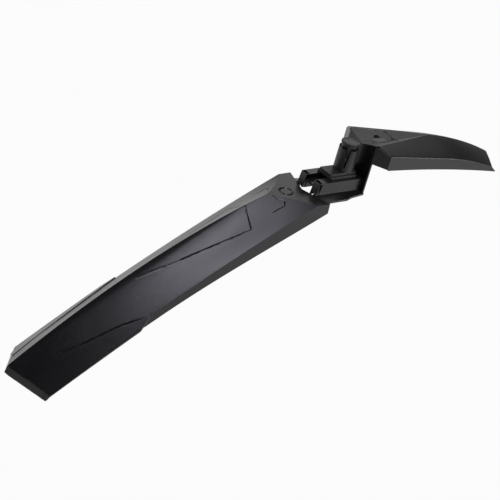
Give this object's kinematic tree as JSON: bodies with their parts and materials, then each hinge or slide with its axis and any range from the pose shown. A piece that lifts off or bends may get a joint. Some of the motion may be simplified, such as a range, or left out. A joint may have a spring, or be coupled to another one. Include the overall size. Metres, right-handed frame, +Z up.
{
  "type": "bicycle mudguard",
  "caption": "Front bicycle mudguard with a long roof-section rear blade, a stepped bracket carrying a split steerer plug, and a shorter raised front blade.",
  "frame": {"origin": "on the plug's axis, at the seat where the steerer tube's lower end stops on the plug base", "axes": "+Z up along the plug into the steerer tube, +X forward to the front blade, +Y to the rider's left; the guard is mirrored about the XZ plane"},
  "size_m": [0.6391, 0.0828, 0.2411],
  "materials": {
    "black_plastic": "satin black moulded polypropylene with a fine grain",
    "plug_plastic": "satin dark grey moulded nylon",
    "cap_plastic": "satin mid grey moulded nylon, bare face",
    "zinc_steel": "zinc-plated"
  },
  "bodies": {
    "root": {"mudguard_body": "black_plastic", "plug_base": "plug_plastic", "expander_sleeve": "plug_plastic", "cone_nut": "cap_plastic", "clamp_bolt": "zinc_steel", "washer": "zinc_steel"}
  },
  "joints": []
}
